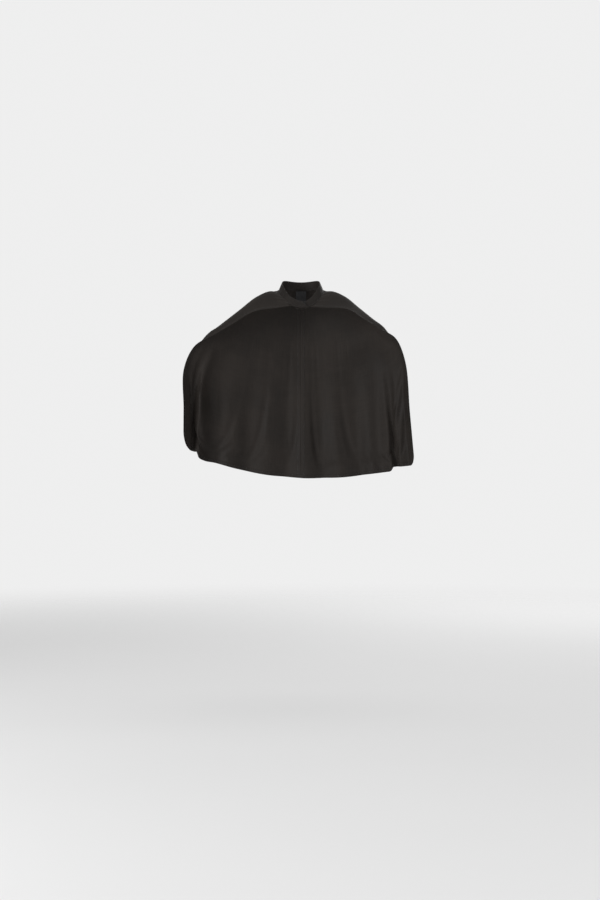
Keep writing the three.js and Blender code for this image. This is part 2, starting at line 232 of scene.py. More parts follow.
# Spaces each row's points evenly again along each half, so the weave isn't stretched where a fold is deep.
def evenOut(points):
    half = grid["across"] // 2
    evened = points.copy()
    for j in range(points.shape[1]):
        for at in (slice(0, half + 1), slice(half, grid["across"] + 1)):
            row = points[at, j]
            fine = curveThrough(row, np.linspace(0, 1, 5 * half))
            evened[at, j] = curveThrough(row, evenShares(fine, half + 1))
    return evened


cloth = layOut()
print("cloth laid out")


# Each soft fold is (share across from -1 to 1 at the hem, how far it drifts by the top, width in mm, how far it
# stands out, share of the way down where it starts, share where it is full). Out is away from the wearer.
folds = dict(
    soft=(
        (-0.67, 0.03, 22, 8, 0.36, 0.92), (-0.56, 0.05, 26, -10, 0.32, 0.95),
        (-0.42, 0.07, 22, 9, 0.28, 0.86), (-0.27, 0.06, 24, -8, 0.24, 0.90),
        (-0.12, 0.02, 20, 9, 0.22, 0.82), (0.045, -0.02, 23, -9, 0.24, 0.90),
        (0.18, -0.05, 20, 9, 0.26, 0.85), (0.33, -0.07, 26, -9, 0.28, 0.95),
        (0.48, -0.05, 22, 9, 0.32, 0.88), (0.59, -0.03, 20, -7, 0.36, 0.95),
        (0.83, 0.0, 9, -6, 0.45, 0.85), (0.90, 0.0, 9, 6, 0.45, 0.85),
    ),
    # the two deep pleats near the front edges: a ridge towards the wearer, which leans out over the valley beside
    # it. The hem hangs lower by mainDrop on the back's side of a pleat, and higher by stripLift on the edge's side
    pleats=(
        dict(sign=-1, at=-0.79, ridge=20, valley=12, width=13, gap=25, leanOver=19, start=0.38, full=0.8,
             mainDrop=8, stripLift=7),
        dict(sign=1, at=0.71, ridge=14, valley=7, width=12, gap=21, leanOver=15, start=0.44, full=0.88,
             mainDrop=3, stripLift=8),
    ),
    hemStep=dict(start=0.72, lift=70, drop=34),
    neckPuckers=dict(counts=(19, 31), heights=(0.35, 0.22), reach=0.10),
)


# For each point of a grid, its share across from -1 to 1 and its share of the way down.
def gridShares(columns, rows):
    return np.meshgrid(np.linspace(-1, 1, columns), np.linspace(0, 1, rows), indexing="ij")


def awayFromWearer(points):
    out = unit(np.cross(np.gradient(points, axis=1), np.gradient(points, axis=0)))
    return out if out[:, -1, 1].mean() > 0 else -out


def addFolds(points):
    out, tangent = awayFromWearer(points), unit(np.gradient(points, axis=0))
    half = grid["across"] // 2
    shares, down = gridShares(*points.shape[:2])
    steps = np.linalg.norm(np.diff(points, axis=0), axis=2)
    run = np.concatenate([np.zeros((1, points.shape[1])), np.cumsum(steps, axis=0)])
    run = run - run[half]  # millimetres from the centre back, along each row
    reach = np.where(shares < 0, -run[0], run[-1])
    moved = points.copy()
    for at, drift, width, height, start, full in folds["soft"]:
        centre = (at + drift * (1 - down)) * reach
        size = height * smoothstep(start, full, down) * np.exp(-(((run - centre) / width) ** 2))
        moved += out * size[..., None]
    for pleat in folds["pleats"]:
        grown = smoothstep(pleat["start"], pleat["full"], down)
        centre = pleat["at"] * reach
        x = (run - centre) * pleat["sign"]  # positive towards the front edge
        ridge = np.exp(-((x / pleat["width"]) ** 2))
        valley = np.exp(-(((x - pleat["gap"]) / pleat["width"]) ** 2))
        size = (pleat["valley"] * valley - pleat["ridge"] * ridge) * grown
        moved += out * size[..., None]
        moved += tangent * (pleat["sign"] * pleat["leanOver"] * ridge * grown)[..., None]
        strip, hemStep = smoothstep(-4, 8, x), folds["hemStep"]
        step = (pleat["stripLift"] * strip * np.exp(-((x / hemStep["lift"]) ** 2))
                - pleat["mainDrop"] * (1 - strip) * np.exp(-((x / hemStep["drop"]) ** 2)))
        moved[..., 2] += step * smoothstep(hemStep["start"], 1.0, down)
    puckers = folds["neckPuckers"]
    wave = sum(height * np.sin(shares * math.pi * count + count)
               for count, height in zip(puckers["counts"], puckers["heights"]))
    moved += out * (wave * smoothstep(puckers["reach"], 0.015, down) * smoothstep(0, 0.02, down))[..., None]
    return moved


cloth = evenOut(addFolds(cloth))
print("folds added")


# A short cloth simulation: the shaped drape is cut a little wider than it hangs, and settles under its own weight.
# The holds say how firmly each place is kept where it was shaped, from 0 to 1. Then share of the movement is kept,
# and no point ends further away than farthest, in millimetres.
settling = dict(
    frames=24, quality=6, extraWidth=0.035, tension=18, shear=6, bending=0.35, mass=0.12, air=1.0,
    neckHold=1.0, shoulderHold=0.85, edgeHold=0.7, hemHold=0.34, backHold=0.05, farthest=7, share=0.8,
)


def settle(points):
    columns, rows = points.shape[:2]
    start = points * mm
    sheet = newPiece("settling", start, gridFaces(columns, rows))
    across, down = gridShares(columns, rows)
    backHold = settling["backHold"]
    hold = backHold + (settling["shoulderHold"] - backHold) * smoothstep(-0.42, -0.12, -down)
    hold = np.maximum(hold, settling["edgeHold"] * smoothstep(0.86, 0.99, np.abs(across)))
    hold = np.maximum(hold, settling["hemHold"] * smoothstep(0.85, 1.0, down))
    hold = np.maximum(hold, settling["neckHold"] * smoothstep(-0.06, -0.02, -down))
    group = sheet.vertex_groups.new(name="held")
    for index, weight in enumerate(hold.ravel()):
        group.add([index], float(weight), "REPLACE")
    sheet.shape_key_add(name="Basis")
    cut = sheet.shape_key_add(name="cut")
    wider = start.copy()
    wider[..., 0] *= 1 + settling["extraWidth"] * smoothstep(0.15, 0.7, down)
    cut.data.foreach_set("co", wider.astype(np.float32).ravel())
    cut.value = 0
    pick(sheet)
    made = sheet.modifiers.new("Cloth", "CLOTH")
    rules = made.settings
    rules.quality, rules.mass, rules.air_damping = settling["quality"], settling["mass"], settling["air"]
    rules.tension_stiffness = rules.compression_stiffness = settling["tension"]
    rules.shear_stiffness, rules.bending_stiffness = settling["shear"], settling["bending"]
    rules.vertex_group_mass, rules.pin_stiffness = "held", 1.0
    rules.rest_shape_key = cut
    made.collision_settings.use_collision = False
    made.collision_settings.use_self_collision = False
    made.point_cache.frame_start, made.point_cache.frame_end = 1, settling["frames"]
    for frameNumber in range(1, settling["frames"] + 1):
        scene.frame_set(frameNumber)
    shaped = sheet.evaluated_get(bpy.context.evaluated_depsgraph_get()).data
    result = np.zeros(columns * rows * 3, np.float32)
    shaped.vertices.foreach_get("co", result)
    moved = result.reshape(columns, rows, 3).astype(float) / mm - points
    scene.frame_set(1)
    bpy.data.objects.remove(sheet)
    length = np.maximum(np.linalg.norm(moved, axis=-1, keepdims=True), 1e-6) * settling["share"]
    kept = settling["farthest"] * np.tanh(length / settling["farthest"])
    print("settled, moved mm: mean", kept.mean().round(2), "most", kept.max().round(2))
    return points + moved * settling["share"] * kept / length


cloth = settle(cloth)


# The finished drape, read at any share across and down, and any distance out from it.
class Surface:
    def __init__(self, points):
        self.points = points
        self.cells = np.array(points.shape[:2]) - 1
        self.normals = awayFromWearer(points)
        middle = self.cells[0] // 2
        steps = np.linalg.norm(np.diff(points, axis=0), axis=2)
        self.widths = {-1: steps[:middle].sum(0), 1: steps[middle:].sum(0)}
        self.heights = {-1: self.fall(points[0]), 1: self.fall(points[-1])}

    def fall(self, column):
        return runAlong(column)[-1]

    def widthAt(self, sign, down):
        return np.interp(down, np.linspace(0, 1, self.cells[1] + 1), self.widths[sign])

    # Shares across and down, from millimetres in from a front edge and up from the hem.
    def shares(self, sign, inset, rise):
        down = 1 - rise / self.heights[sign]
        share = inset / self.widthAt(sign, down) / 2
        return (share if sign < 0 else 1 - share), down

    def at(self, across, down, out=0.0):
        made = self.sample(self.points, across, down)
        return (made + self.normalAt(across, down) * np.broadcast_to(out, across.shape)[..., None]) * mm

    def normalAt(self, across, down):
        return unit(self.sample(self.normals, across, down))

    def sample(self, values, across, down):
        x = np.clip(across, 0, 1) * self.cells[0]
        y = np.clip(down, 0, 1) * self.cells[1]
        i, j = np.minimum(x.astype(int), self.cells[0] - 1), np.minimum(y.astype(int), self.cells[1] - 1)
        wx, wy = self.weights(x - i), self.weights(y - j)
        total = 0
        for k in range(4):
            for m in range(4):
                total = total + self.knot(values, i + k - 1, j + m - 1) * (wx[k] * wy[m])[..., None]
        return total

    # A knot past the cloth's edge goes on in a straight line, so the edge keeps its slope.
    def knot(self, values, i, j):
        ci, cj = np.clip(i, 0, self.cells[0]), np.clip(j, 0, self.cells[1])
        at = values[ci, cj]
        mi, mj = np.clip(2 * ci - i, 0, self.cells[0]), np.clip(2 * cj - j, 0, self.cells[1])
        return 2 * at - values[mi, mj] if (ci != i).any() or (cj != j).any() else at

    def weights(self, w):
        return (-0.5 * w + w**2 - 0.5 * w**3, 1 - 2.5 * w**2 + 1.5 * w**3,
                0.5 * w + 2 * w**2 - 1.5 * w**3, -0.5 * w**2 + 0.5 * w**3)


surface = Surface(cloth)
print("surface ready, front edges in mm:", surface.heights)


def smoothByAngle(piece, degrees=40):
    pick(piece)
    bpy.ops.object.shade_smooth_by_angle(angle=math.radians(degrees))


def faceOutwards(piece):
    pick(piece)
    bpy.ops.object.mode_set(mode="EDIT")
    bpy.ops.mesh.select_all(action="SELECT")
    bpy.ops.mesh.normals_make_consistent(inside=False)
    bpy.ops.object.mode_set(mode="OBJECT")


# A sheet of cloth from a grid of points in metres, given a real thickness in millimetres.
def clothSheet(name, points, spread, thickness):
    piece = newPiece(name, points, gridFaces(*points.shape[:2]), spread)
    applyModifier(piece, "SOLIDIFY", thickness=thickness * mm, offset=0)
    faceOutwards(piece)
    smoothByAngle(piece, 50)
    return piece


# A closed tube from rings of points, with its ends filled: rings is (along, round, 3) in metres.
def closedTube(name, rings, smooth=40):
    rings = np.concatenate([rings, rings[:, :1]], axis=1)
    along, around = rings.shape[:2]
    run, turn = runAlong(rings.mean(1)), runAlong(rings[along // 2])
    spread = np.stack(np.meshgrid(run, turn, indexing="ij"), -1)
    piece = newPiece(name, rings, gridFaces(along, around), spread)
    pick(piece)
    bpy.ops.object.mode_set(mode="EDIT")
    bpy.ops.mesh.select_all(action="SELECT")
    bpy.ops.mesh.remove_doubles(threshold=1e-6)
    bpy.ops.mesh.select_all(action="DESELECT")
    bpy.ops.mesh.select_non_manifold()
    bpy.ops.mesh.fill_holes(sides=0)
    bpy.ops.object.mode_set(mode="OBJECT")
    faceOutwards(piece)
    smoothByAngle(piece, smooth)
    return piece


# One small shape, made once, is copied to many places. Each place has its own axes, given as three rows of
# vectors: along, beside and out.
def scatter(name, proto, places, axes):
    points, faces = proto
    count = len(places)
    spots = np.einsum("vk,nkd->nvd", points, axes) + places[:, None]
    allFaces = np.array(faces)[None] + (np.arange(count) * len(points))[:, None, None]
    piece = newPiece(name, spots, allFaces.reshape(-1, len(faces[0])))
    faceOutwards(piece)
    smoothByAngle(piece, 70)
    return piece


def takeShape(piece):
    pick(piece)
    bpy.ops.object.transform_apply(location=True, rotation=True, scale=True)
    points = np.array([v.co[:] for v in piece.data.vertices])
    faces = [list(f.vertices) for f in piece.data.polygons]
    bpy.data.objects.remove(piece)
    return points, faces


stitch = dict(length=2.3, pitch=3.0, radius=0.26, sides=6, taper=0.72, point=1.28, dip=0.25)


def makeStitch():
    deselectAll()
    bpy.ops.mesh.primitive_cylinder_add(vertices=stitch["sides"], radius=stitch["radius"] * mm,
                                        depth=stitch["length"] * mm, end_fill_type="TRIFAN",
                                        rotation=(0, math.pi / 2, 0))
    piece = bpy.context.active_object
    points, faces = takeShape(piece)
    # the ends are drawn to a point as they go down into the cloth
    caps = np.linalg.norm(points[:, 1:], axis=1) < 1e-7
    points[caps, 0] *= stitch["point"]
    points[caps, 2] -= stitch["dip"] * mm
    points[~caps, 1:] *= stitch["taper"]
    quads = [f for f in faces if len(f) == 4]
    return points, [f for f in faces if len(f) == 3] + [t for q in quads for t in (q[:3], [q[0], q[2], q[3]])]


stitchShape = makeStitch()


# A row of stitches along a line of points in metres, lying on the side that normals point to.
def stitchRow(line, normals, pitch=None):
    pitch = (pitch or stitch["pitch"]) * mm
    run = runAlong(line)
    count = max(2, int(run[-1] / pitch))
    spots = (np.arange(count) + 0.5) * run[-1] / count
    place = np.stack([np.interp(spots, run, line[:, k]) for k in range(3)], -1)
    ahead = np.stack([np.interp(spots + 0.4 * pitch, run, line[:, k]) for k in range(3)], -1)
    along = unit(ahead - place)
    out = np.stack([np.interp(spots, run, normals[:, k]) for k in range(3)], -1)
    beside = unit(np.cross(out, along))
    out = unit(np.cross(along, beside))
    return place, np.stack([along, beside, out], 1)


def stitches(name, rows):
    places = np.concatenate([place for place, axes in rows])
    return scatter(name, stitchShape, places, np.concatenate([axes for place, axes in rows]))


# A socket of a material's nodes, which can be used in sums. A sum adds its Math nodes.
class Link:
    def __init__(self, tree, socket=None):
        self.tree, self.socket = tree, socket

    def node(self, kind, settings=None, inputs=None, output=0):
        made = self.tree.nodes.new(kind)
        for name, value in (settings or {}).items():
            setattr(made, name, value)
        for name, value in (inputs or {}).items():
            if isinstance(value, Link):
                self.tree.links.new(value.socket, made.inputs[name])
            else:
                made.inputs[name].default_value = value
        return Link(self.tree, made.outputs[output])

    def maths(self, operation, *values):
        return self.node("ShaderNodeMath", {"operation": operation}, dict(enumerate(values)))

    def __add__(self, other):
        return self.maths("ADD", self, other)

    def __sub__(self, other):
        return self.maths("SUBTRACT", self, other)

    def __rsub__(self, other):
        return self.maths("SUBTRACT", other, self)

    def __mul__(self, other):
        return self.maths("MULTIPLY", self, other)

    __radd__ = __add__
    __rmul__ = __mul__

    def between(self, low, high, newLow, newHigh):
        return self.node("ShaderNodeMapRange", {"interpolation_type": "SMOOTHSTEP"},
                         {"Value": self, "From Min": low, "From Max": high, "To Min": newLow, "To Max": newHigh})

    def tint(self, low, high):
        return self.node("ShaderNodeMix", {"data_type": "RGBA"},
                         {"Factor": self, "A": (*low, 1), "B": (*high, 1)}, output=2)

    def noise(self, place, scale, **more):
        return self.node("ShaderNodeTexNoise", inputs={"Vector": place, "Scale": float(scale), **more})

    # depth is in millimetres
    def bump(self, height, strength, depth, **more):
        return self.node("ShaderNodeBump", inputs={"Height": height, "Strength": strength,
                                                   "Distance": depth * mm, **more})

    def objectPlace(self):
        return self.node("ShaderNodeTexCoord", output=3)


def startMaterial(name, **plain):
    material = bpy.data.materials.new(name)
    material.use_nodes = True
    tree = material.node_tree
    shader = tree.nodes["Principled BSDF"]
    for socket, value in plain.items():
        shader.inputs[socket.replace("_", " ")].default_value = value
    return material, Link(tree), shader


def wire(graph, shader, **links):
    for socket, link in links.items():
        graph.tree.links.new(link.socket, shader.inputs[socket.replace("_", " ")])


# Plain-woven cloth: its threads follow the piece's own flat layout, in metres. pitch and weave are the spacing of
# the threads and how far they stand up, in millimetres.
def wovenCloth(name, dark, light, pitch=0.42, weave=0.05, crease=0.5, roughness=(0.58, 0.74), sheen=0.06,
               slub=0.16, creaseScale=16, gloss=0.16):
    material, graph, shader = startMaterial(
        name, Sheen_Weight=sheen, Sheen_Roughness=0.4, Sheen_Tint=(0.95, 0.88, 0.82, 1), IOR=1.46,
        Specular_IOR_Level=gloss)
    flat = graph.node("ShaderNodeUVMap", {"uv_map": "spread"})
    place = graph.objectPlace()
    x = graph.node("ShaderNodeSeparateXYZ", inputs={0: flat})
    y = graph.node("ShaderNodeSeparateXYZ", inputs={0: flat}, output=1)
    turns = math.pi / (pitch * mm)
    warp, weft = (x * turns).maths("SINE", x * turns), (y * turns).maths("SINE", y * turns)
    over = (warp * weft).maths("GREATER_THAN", warp * weft, 0.0)
    warpUp, weftUp = warp.maths("ABSOLUTE", warp), weft.maths("ABSOLUTE", weft)
    threads = warpUp * over + weftUp * (1 - over)
    # single threads are a little thicker or darker than their neighbours, along and across
    fine, coarse = 900, 14
    alongWarp = graph.node("ShaderNodeMapping", inputs={"Vector": flat, "Scale": (fine, coarse, 1)})
    alongWeft = graph.node("ShaderNodeMapping", inputs={"Vector": flat, "Scale": (coarse, fine, 1)})
    slubs = (graph.noise(alongWarp, 1, Detail=1.0) + graph.noise(alongWeft, 1, Detail=1.0)) * 0.5
    clouds = graph.noise(place, 9, Detail=3.0, Roughness=0.55)
    creases = graph.noise(place, creaseScale, Detail=3.0, Roughness=0.5, Distortion=0.6)
    mix = (clouds.between(0.3, 0.7, 0.0, 1.0) * 0.55 + slubs.between(0.35, 0.65, 0.0, 1.0) * slub * 2
           + threads * 0.12)
    colour = mix.tint(dark, light)
    rough = clouds.between(0.25, 0.75, roughness[0], roughness[1]) - slubs * 0.05
    small = graph.bump(threads + slubs * 0.6, 0.55, weave)
    large = graph.bump(creases, crease, 3.0, Normal=small)
    wire(graph, shader, Base_Color=colour, Roughness=rough, Normal=large)
    return material


def plainThread(name, dark, light):
    material, graph, shader = startMaterial(name, Sheen_Weight=0.2, IOR=1.5, Specular_IOR_Level=0.4)
    place = graph.objectPlace()
    twist = graph.node("ShaderNodeTexWave", {"bands_direction": "DIAGONAL"},
                       {"Vector": place, "Scale": 900.0, "Distortion": 1.0}, output=1)
    clouds = graph.noise(place, 160)
    bump = graph.bump(twist, 0.5, 0.06)
    wire(graph, shader, Base_Color=(clouds * 0.6 + twist * 0.4).tint(dark, light),
         Roughness=clouds.between(0.3, 0.7, 0.45, 0.65), Normal=bump)
    return material


# Felted or looped stuff: small tufts, with finer fluff over them.
def napped(name, dark, light, scale=1400.0, depth=0.35):
    material, graph, shader = startMaterial(name, Sheen_Weight=0.6, Sheen_Roughness=0.5, IOR=1.5,
                                            Specular_IOR_Level=0.2)
    place = graph.objectPlace()
    tufts = graph.node("ShaderNodeTexVoronoi", {"feature": "F1"}, {"Vector": place, "Scale": scale})
    fluff = graph.noise(place, scale * 0.6, Detail=3.0)
    height = tufts * 0.6 + fluff * 0.6
    bump = graph.bump(height, 0.8, depth)
    wire(graph, shader, Base_Color=height.tint(dark, light), Roughness=fluff.between(0.3, 0.7, 0.75, 0.95),
         Normal=bump)
    return material


# the darkest and lightest colour of each stuff, and what else sets it apart. The hem and the band are the cape's
# own cloth, given darker tones than the cape: painted shade
coloursAndPaintedShade = dict(
    cape=dict(dark=(0.0105, 0.0084, 0.0071), light=(0.0235, 0.0194, 0.0168)),
    # darker than the cape's cloth: painted shade along the hem
    hem=dict(dark=(0.0092, 0.0074, 0.0063), light=(0.0205, 0.0170, 0.0148), crease=0.3, creaseScale=60),
    # darker than the cape's cloth: painted shade about the neck and inside the collar
    band=dict(dark=(0.0088, 0.0072, 0.0062), light=(0.0195, 0.0164, 0.0144), crease=0.22, creaseScale=45),
    thread=dict(dark=(0.006, 0.005, 0.0045), light=(0.020, 0.017, 0.015)),
    stiffening=dict(dark=(0.09, 0.09, 0.088), light=(0.17, 0.17, 0.165), scale=700.0, depth=0.12),
    loops=dict(dark=(0.008, 0.008, 0.009), light=(0.028, 0.028, 0.03)),
    hooks=dict(dark=(0.01, 0.01, 0.011), light=(0.03, 0.03, 0.032)),
    tape=dict(dark=(0.008, 0.008, 0.0085), light=(0.02, 0.02, 0.021), pitch=0.7, weave=0.12, crease=0.1),
    label=dict(dark=(0.016, 0.016, 0.017), light=(0.04, 0.04, 0.042), pitch=0.3, weave=0.06, crease=0.15,
               roughness=(0.35, 0.5), sheen=0.15, creaseScale=70),
)
capeCloth = wovenCloth("capeCloth", **coloursAndPaintedShade["cape"])
hemCloth = wovenCloth("hemCloth", **coloursAndPaintedShade["hem"])
bandCloth = wovenCloth("bandCloth", **coloursAndPaintedShade["band"])
sewingThread = plainThread("sewingThread", **coloursAndPaintedShade["thread"])
stiffening = napped("stiffening", **coloursAndPaintedShade["stiffening"])
loopPile = napped("loopPile", **coloursAndPaintedShade["loops"])
tapeBack = wovenCloth("tapeBack", **coloursAndPaintedShade["tape"])
labelSatin = wovenCloth("labelSatin", **coloursAndPaintedShade["label"])


def hookMaterial():
    material, graph, shader = startMaterial("hookNylon", IOR=1.53, Coat_Weight=0.1)
    wear = graph.noise(graph.objectPlace(), 500, Detail=2.0)
    bump = graph.bump(wear, 0.3, 0.05)
    wire(graph, shader, Base_Color=wear.tint(coloursAndPaintedShade["hooks"]["dark"], coloursAndPaintedShade["hooks"]["light"]),
         Roughness=wear.between(0.3, 0.7, 0.3, 0.5), Normal=bump)
    return material


hookNylon = hookMaterial()


def dress(piece, material):
    piece.data.materials.clear()
    piece.data.materials.append(material)


print("materials made")


# Places by the side of the neck, at the closure and at the lapped end's root, in metres. No piece is turned about
# them: each piece only has its placement baked into its mesh.
bend = dict(start=(0.026, 0.0328, 0), end=(-0.0062, -0.0078, 0),
            tabStart=(-0.0215, -0.062, -0.02), tabEnd=(-0.0085, -0.0665, -0.02))
sideOf = {-1: "right", 1: "left"}


def bendWithFront(piece, sign):
    start, end = ((sign * x, y, z) for x, y, z in (bend["start"], bend["end"]))
    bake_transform(piece)


# A part of the collar has its placement baked into its mesh, whether or not it belongs to the lapped end.
def bendCollar(piece, sign, lapped):
    if lapped:
        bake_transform(piece)
    else:
        bendWithFront(piece, sign)


# the two halves of the cape; corner is how far each bottom corner is rounded
panel = dict(
    columns=104, rows=124, thickness=0.55, corner={-1: 44, 1: 24}, crowding=1.1,
    # what each half is cut from, laid flat, in metres and square metres
    flat={-1: (0.43, 0.62), 1: (0.39, 0.63)}, area={-1: 0.175, 1: 0.168},
)


# Rounds the bottom corner: a square corner of the grid is pressed onto a quarter circle.
def roundCorner(sign, inset, rise):
    radius = panel["corner"][sign]
    x, y = np.clip(radius - inset, 0, radius), np.clip(radius - rise, 0, radius)
    return (np.where(x > 0, radius - x * np.sqrt(1 - y**2 / (2 * radius**2)), inset),
            np.where(y > 0, radius - y * np.sqrt(1 - x**2 / (2 * radius**2)), rise))


def makePanel(sign):
    name = sideOf[sign]
    height = surface.heights[sign]
    # columns are spaced at the hem, closer by the front edge, and keep their share of the width above it
    hemWidth = surface.widths[sign][-1]
    inset = np.linspace(0, 1, panel["columns"] + 1) ** panel["crowding"] * hemWidth
    rise = np.linspace(height, 0, panel["rows"] + 1)
    inset, rise = np.meshgrid(inset, rise, indexing="ij")
    inset, rise = roundCorner(sign, inset, rise)
    share = inset / hemWidth / 2
    across, down = (share if sign < 0 else 1 - share), 1 - rise / height
    spread = np.stack([sign * (1 - 2 * share) * surface.widthAt(sign, down), rise], -1) * mm
    piece = clothSheet(f"{name}_cape", surface.at(across, down), spread, panel["thickness"])
    dress(piece, capeCloth)
    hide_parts(f"{name}_panel", f"{name}_front_corner")
    return piece


capes = {sign: makePanel(sign) for sign in (-1, 1)}
print("panels made")


# the hem is turned once to the wearer's side and topstitched; fromTop keeps it clear of the band
hem = dict(width=10, turn=0.62, thickness=0.5, stitchInset=8, step=4.0, fromTop=5.0, cornerSteps=12)


# The line that lies a distance in from the cut edge, down the front, round the corner and along the bottom.
def edgeLine(sign, inset):
    radius, width = panel["corner"][sign], surface.widths[sign][-1]
    downFront = np.arange(surface.heights[sign] - hem["fromTop"], radius, -hem["step"])
    turn = np.linspace(0, math.pi / 2, hem["cornerSteps"])
    along = np.linspace(radius, width - 0.4, int((width - radius) / hem["step"]))[1:]
    inner = radius - inset
    insets = np.concatenate([np.full(len(downFront), inset), radius - inner * np.cos(turn), along])
    rises = np.concatenate([downFront, radius - inner * np.sin(turn), np.full(len(along), inset)])
    return insets, rises


def makeHem(sign):
    name = sideOf[sign]
    turned = hem["turn"]
    # the turn is rolled over the cut edge, lies flat on the wearer's side, and is tucked under at its inner edge
    section = [(-0.12, 0.02), (-0.1, -0.3), (0.1, -0.55), (0.8, -turned - 0.04), (2.6, -turned),
               (4.6, -turned - 0.05), (6.6, -turned), (8.0, -turned + 0.06), (9.2, -turned - 0.02),
               (9.8, -turned + 0.08), (10.0, -turned + 0.26)]
    points, spread = [], []
    for inset, out in section:
        insets, rises = edgeLine(sign, inset)
        across, down = surface.shares(sign, insets, rises)
        points.append(surface.at(across, down, out))
        run = runAlong(points[-1])
        spread.append(np.stack([np.full(len(run), inset * mm), run], -1))
    piece = clothSheet(f"{name}_hem", np.array(points), np.array(spread), hem["thickness"])
    dress(piece, hemCloth)
    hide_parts(f"{name}_front_hem", f"{name}_corner_hem", f"{name}_bottom_hem")
    insets, rises = edgeLine(sign, hem["stitchInset"])
    across, down = surface.shares(sign, insets, rises)
    normals = surface.normalAt(across, down)
    inside = stitchRow(surface.at(across, down, -turned - 0.3), -normals)
    outside = stitchRow(surface.at(across, down, panel["thickness"] / 2 + 0.08), normals)
    seam = stitches(f"{name}_hem_stitches", [inside, outside])
    dress(seam, sewingThread)
    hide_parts(f"{name}_hem_thread")
    for made in (piece, seam):
        bendWithFront(made, sign)
    return piece, seam


hems = {sign: makeHem(sign) for sign in (-1, 1)}
print("hems made")


# the two halves are joined at centre back: their spare cloth lies open on the wearer's side, and is overlocked
backSeam = dict(allowance=9, thickness=0.5, top=0.012, steps=150, pitch=2.6,
                overlockPitch=2.4, overlockLength=3.4, overlockInset=0.14, overlockRise=0.34, overlockSlant=0.35)


def makeBackSeam():
    rows, allowances = [], {}
    down = np.linspace(backSeam["top"], 1 - (hem["width"] + 1) / surface.heights[1], backSeam["steps"])
    normals = surface.normalAt(0.5 + 0 * down, down)
    for sign in (-1, 1):
        points, spread = [], []
        for beside, out in ((0.25, -0.35), (0.6, -0.6), (3, -0.66), (6, -0.66), (backSeam["allowance"], -0.62)):
            points.append(surface.at(0.5 + sign * beside / surface.widthAt(sign, down) / 2, down, out))
            spread.append(np.stack([0 * down + sign * beside, down * surface.heights[1]], -1) * mm)
        piece = clothSheet(f"{sideOf[sign]}_seam_allowance", np.array(points), np.array(spread),
                           backSeam["thickness"])
        dress(piece, capeCloth)
        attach(piece, "back")
        allowances[sign] = piece
        # overlocking: slanted threads over the raw edge
        inset = backSeam["overlockInset"]
        edge = points[-1] * (1 - inset) + points[-2] * inset - normals * backSeam["overlockRise"] * mm
        place, axes = stitchRow(edge, -normals, backSeam["overlockPitch"])
        along, beside, out = axes[:, 0], axes[:, 1], axes[:, 2]
        slant = unit(along * backSeam["overlockSlant"] + beside)
        longer = slant * backSeam["overlockLength"] / stitch["length"]
        rows.append((place, np.stack([longer, unit(np.cross(out, slant)), out], 1)))
    overlock = stitches("back_seam_overlock", rows)
    line = surface.at(np.full(len(down), 0.5), down, panel["thickness"] / 2 + 0.02)
    seamLine = stitches("back_seam_stitches", [stitchRow(line, normals, backSeam["pitch"])])
    for piece in (overlock, seamLine):
        dress(piece, sewingThread)
        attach(piece, "back")
    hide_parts("back_seam_thread")
    return allowances


seamAllowances = makeBackSeam()
for sign, cape in capes.items():
    bendWithFront(cape, sign)
print("centre back seam made")


# The band's outline cut across: two leaves that swell a little between the seam line and the folded top.
def bandSection(height, thickness, lowest=-0.6, swell=0.22):
    half = thickness / 2
    rise = np.linspace(0, 1, 10)
    bulge = swell * np.sin(math.pi * rise) - 0.3 * np.exp(-(((rise * height - 2.4) / 1.1) ** 2))
    ups = lowest + (height - half - lowest) * rise
    arc = np.linspace(math.pi, 0, 9)[1:-1]
    inner = np.stack([-half - bulge, ups], -1)
    top = np.stack([half * np.cos(arc), height - half + half * np.sin(arc)], -1)
    outer = np.stack([half + bulge, ups], -1)[::-1]
    foot = np.array([[half * 0.5, lowest - 0.45], [-half * 0.5, lowest - 0.45]])
    return np.concatenate([inner, top, outer, foot])


def bandAngles(first, last, step=2.2):
    return np.linspace(first, last, max(4, int(abs(first - last) / step)))


def makeBand(name, sign, first, last, slant=0.0):
    section = bandSection(collar["height"], collar["thickness"])
    angles = bandAngles(first, last)
    degrees = angles[:, None] + 0 * section[None, :, 0]
    if slant:
        nearTip = smoothstep(first, last, angles)[:, None]
        degrees = degrees + slant * nearTip * section[None, :, 1] / collar["height"]
    ripple = 0.12 * np.sin(np.radians(angles) * 27)[:, None] * (np.abs(section[:, 0]) > 0.3)
    out = section[None, :, 0] * (1 + ripple)
    return closedTube(name, bandPoint(sign, degrees, out, section[None, :, 1] + 0 * degrees) * mm, smooth=50)


# The neck seam's stitches, on both faces of the band.
def bandStitches(name, sign, first, last):
    rows = []
    angles = bandAngles(first, last, 1.5)
    base, face, upward = bandFrame(sign, angles)
    for side in (1, -1):
        line = bandPoint(sign, angles, side * (collar["thickness"] / 2 + 0.02), collar["seamRise"]) * mm
        rows.append(stitchRow(line, side * face, collar["seamPitch"]))
    return stitches(name, rows)


backAngle, tabRoot, tabTip, underTip = (collar["backAngle"], collar["tabRoot"], -collar["tabPast"],
                                        -collar["underPast"])
for name, sign, first, last, slant, stoodFor in (
    ("right_band", -1, backAngle, tabRoot, 0, ("right_collar", "right_collar_front")),
    ("left_band", 1, backAngle, underTip, 0, ("left_collar", "left_collar_front")),
    ("closure_band", -1, tabRoot, tabTip, collar["tipSlant"], ("closure_tab",)),
):
    band = makeBand(name, sign, first, last, slant)
    dress(band, bandCloth)
    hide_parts(*stoodFor)
    bendCollar(band, sign, name == "closure_band")

for name, sign, first, last, threads in (
    ("right_neck_stitches", -1, 179, 22, ("right_neck_thread", "right_front_thread")),
    ("left_neck_stitches", 1, 179, -13, ("left_neck_thread", "left_front_thread")),
):
    made = bandStitches(name, sign, first, last)
    dress(made, sewingThread)
    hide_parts(*threads)
    bendWithFront(made, sign)

